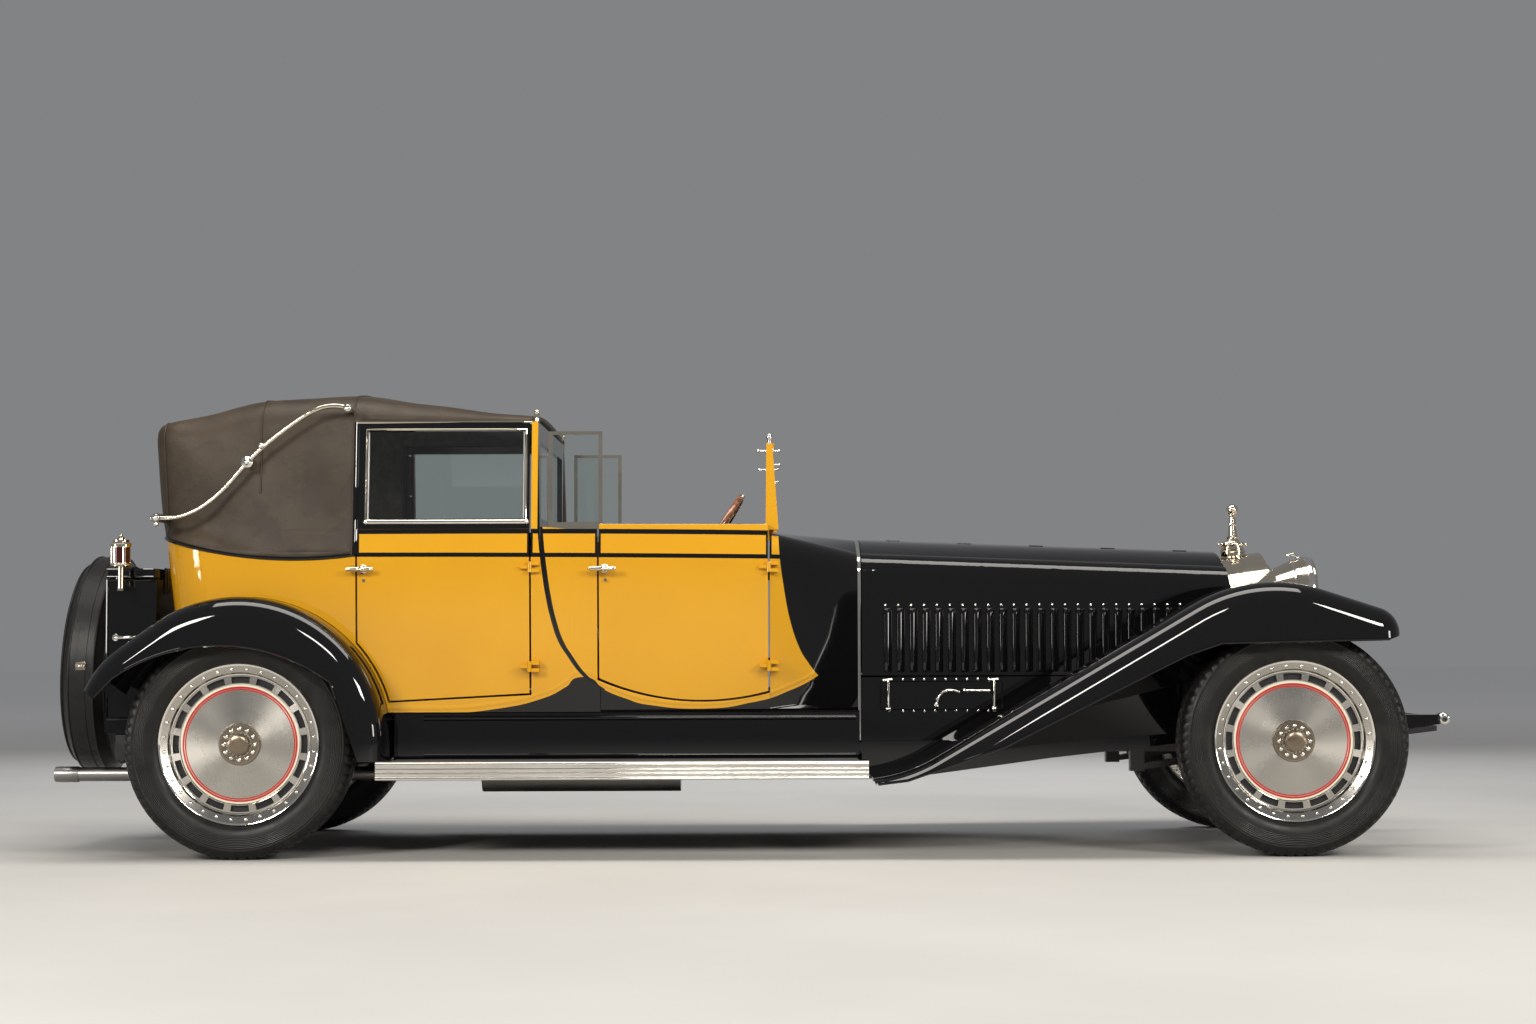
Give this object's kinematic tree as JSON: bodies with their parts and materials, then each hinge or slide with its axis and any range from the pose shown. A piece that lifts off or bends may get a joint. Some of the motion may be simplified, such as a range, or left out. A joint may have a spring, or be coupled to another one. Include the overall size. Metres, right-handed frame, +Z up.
{
  "type": "large touring landaulet car of about 1930",
  "caption": "Long vintage landaulet with open driver's seat, leather rear top, louvred bonnet, sweeping fenders, cast disc wheels and opening doors.",
  "frame": {"origin": "on the ground below the middle of the length and width", "axes": "+X towards the nose, +Y to the left side, +Z up"},
  "size_m": [5.955, 1.95, 1.9498],
  "materials": {
    "body_yellow": "gloss amber yellow",
    "body_black": "gloss black",
    "chassis_black": "satin black",
    "nickel": "warm bright nickel",
    "wheel_metal": "turned and polished",
    "tyre_rubber": "worn black",
    "cast_metal": "cast",
    "forged_steel": "forged",
    "leather_top": "dark taupe, tight over the bows",
    "seat_leather": "dark brown, pleated",
    "front_seat_leather": "black, pleated",
    "glass": "clear plate",
    "rim_wood": "dark varnished",
    "dash_wood": "varnished burr",
    "carpet": "wool carpet on boards",
    "core_mesh": "honeycomb behind slats",
    "spare_cover": "black cover"
  },
  "bodies": {
    "root": {"chassis_rails": "chassis_black", "cross_members": "chassis_black", "engine_block": "cast_metal", "radiator_shell": "nickel", "radiator_core": "core_mesh", "radiator_cap": "nickel", "headlamps": "nickel", "front_fenders": "body_black", "rear_fenders": "body_black", "running_boards": "body_black", "side_panels": "body_black", "rear_body": "body_yellow", "front_body": "body_yellow", "cowl": "body_black", "dashboard": "dash_wood", "windscreen_frame": "body_yellow", "fixed_glass": "glass", "quarter_light_frames": "nickel", "landau_top": "leather_top", "landau_irons": "nickel", "partition": "body_black", "front_seat": "front_seat_leather", "rear_seat": "seat_leather", "cabin_floor": "carpet", "steering_column": "chassis_black", "spare_wheel": "spare_cover", "trunk": "body_black", "rear_lamps": "nickel", "front_axle": "forged_steel", "rear_axle": "chassis_black", "leaf_springs": "chassis_black", "exhaust": "forged_steel"},
    "knuckle_left": {"knuckle_left": "forged_steel"},
    "knuckle_right": {"knuckle_right": "forged_steel"},
    "tie_rod": {"tie_rod": "forged_steel"},
    "steering_wheel": {"steering_wheel": "rim_wood"},
    "trunk_lid": {"trunk_lid": "body_black"},
    "bonnet_left": {"bonnet_left": "body_black"},
    "bonnet_right": {"bonnet_right": "body_black"},
    "rear_door_left": {"rear_door_left": "body_yellow", "rear_door_glass_left": "glass"},
    "front_door_left": {"front_door_left": "body_yellow"},
    "wheel_front_left": {"wheel_front_left": "wheel_metal", "tyre_front_left": "tyre_rubber"},
    "wheel_rear_left": {"wheel_rear_left": "wheel_metal", "tyre_rear_left": "tyre_rubber"},
    "rear_door_right": {"rear_door_right": "body_yellow", "rear_door_glass_right": "glass"},
    "front_door_right": {"front_door_right": "body_yellow"},
    "wheel_front_right": {"wheel_front_right": "wheel_metal", "tyre_front_right": "tyre_rubber"},
    "wheel_rear_right": {"wheel_rear_right": "wheel_metal", "tyre_rear_right": "tyre_rubber"}
  },
  "joints": [
    {"name": "steer_left", "type": "hinge", "parent": "root", "child": "knuckle_left", "pos_m": [2.2325, 0.645, 0.468], "axis": [0, 0, 1], "range_deg": [-27, 27]},
    {"name": "steer_right", "type": "hinge", "parent": "root", "child": "knuckle_right", "pos_m": [2.2325, -0.645, 0.468], "axis": [0, 0, 1], "range_deg": [-27, 27]},
    {"name": "tie_rod_swing", "type": "hinge", "parent": "knuckle_left", "child": "tie_rod", "pos_m": [2.0825, 0.645, 0.352], "axis": [0, 0, 1], "range_deg": [-27, 27]},
    {"name": "steering_wheel_turn", "type": "hinge", "parent": "root", "child": "steering_wheel", "pos_m": [-0.1385, -0.35, 1.311], "axis": [-0.848, 0, 0.5299], "range_deg": [-324, 324]},
    {"name": "spin_front_left", "type": "hinge", "parent": "knuckle_left", "child": "wheel_front_left", "pos_m": [2.2325, 0.8, 0.468], "axis": [0, 1, 0], "continuous": true},
    {"name": "spin_front_right", "type": "hinge", "parent": "knuckle_right", "child": "wheel_front_right", "pos_m": [2.2325, -0.8, 0.468], "axis": [0, 1, 0], "continuous": true},
    {"name": "spin_rear_left", "type": "hinge", "parent": "root", "child": "wheel_rear_left", "pos_m": [-2.0675, 0.8, 0.468], "axis": [0, 1, 0], "continuous": true},
    {"name": "spin_rear_right", "type": "hinge", "parent": "root", "child": "wheel_rear_right", "pos_m": [-2.0675, -0.8, 0.468], "axis": [0, 1, 0], "continuous": true},
    {"name": "rear_door_left_swing", "type": "hinge", "parent": "root", "child": "rear_door_left", "pos_m": [-0.8925, 0.774, 0.985], "axis": [0, 0, -1], "range_deg": [0, 68]},
    {"name": "rear_door_right_swing", "type": "hinge", "parent": "root", "child": "rear_door_right", "pos_m": [-0.8925, -0.774, 0.985], "axis": [0, 0, 1], "range_deg": [0, 68]},
    {"name": "front_door_left_swing", "type": "hinge", "parent": "root", "child": "front_door_left", "pos_m": [0.0935, 0.702, 0.985], "axis": [0, 0, -1], "range_deg": [0, 68]},
    {"name": "front_door_right_swing", "type": "hinge", "parent": "root", "child": "front_door_right", "pos_m": [0.0935, -0.702, 0.985], "axis": [0, 0, 1], "range_deg": [0, 68]},
    {"name": "bonnet_left_lift", "type": "hinge", "parent": "root", "child": "bonnet_left", "pos_m": [1.272, 0.015, 1.293], "axis": [0.9993, 0, -0.0367], "range_deg": [0, 60]},
    {"name": "bonnet_right_lift", "type": "hinge", "parent": "root", "child": "bonnet_right", "pos_m": [1.272, -0.015, 1.293], "axis": [-0.9993, 0, 0.0367], "range_deg": [0, 60]},
    {"name": "trunk_lid_lift", "type": "hinge", "parent": "root", "child": "trunk_lid", "pos_m": [-2.4815, 0, 1.195], "axis": [0, 1, 0], "range_deg": [0, 70]}
  ],
  "couplings": [
    {"joint": "steer_right", "follows": "steer_left", "ratio": 1},
    {"joint": "tie_rod_swing", "follows": "steer_left", "ratio": -1},
    {"joint": "steering_wheel_turn", "follows": "steer_left", "ratio": 12}
  ]
}
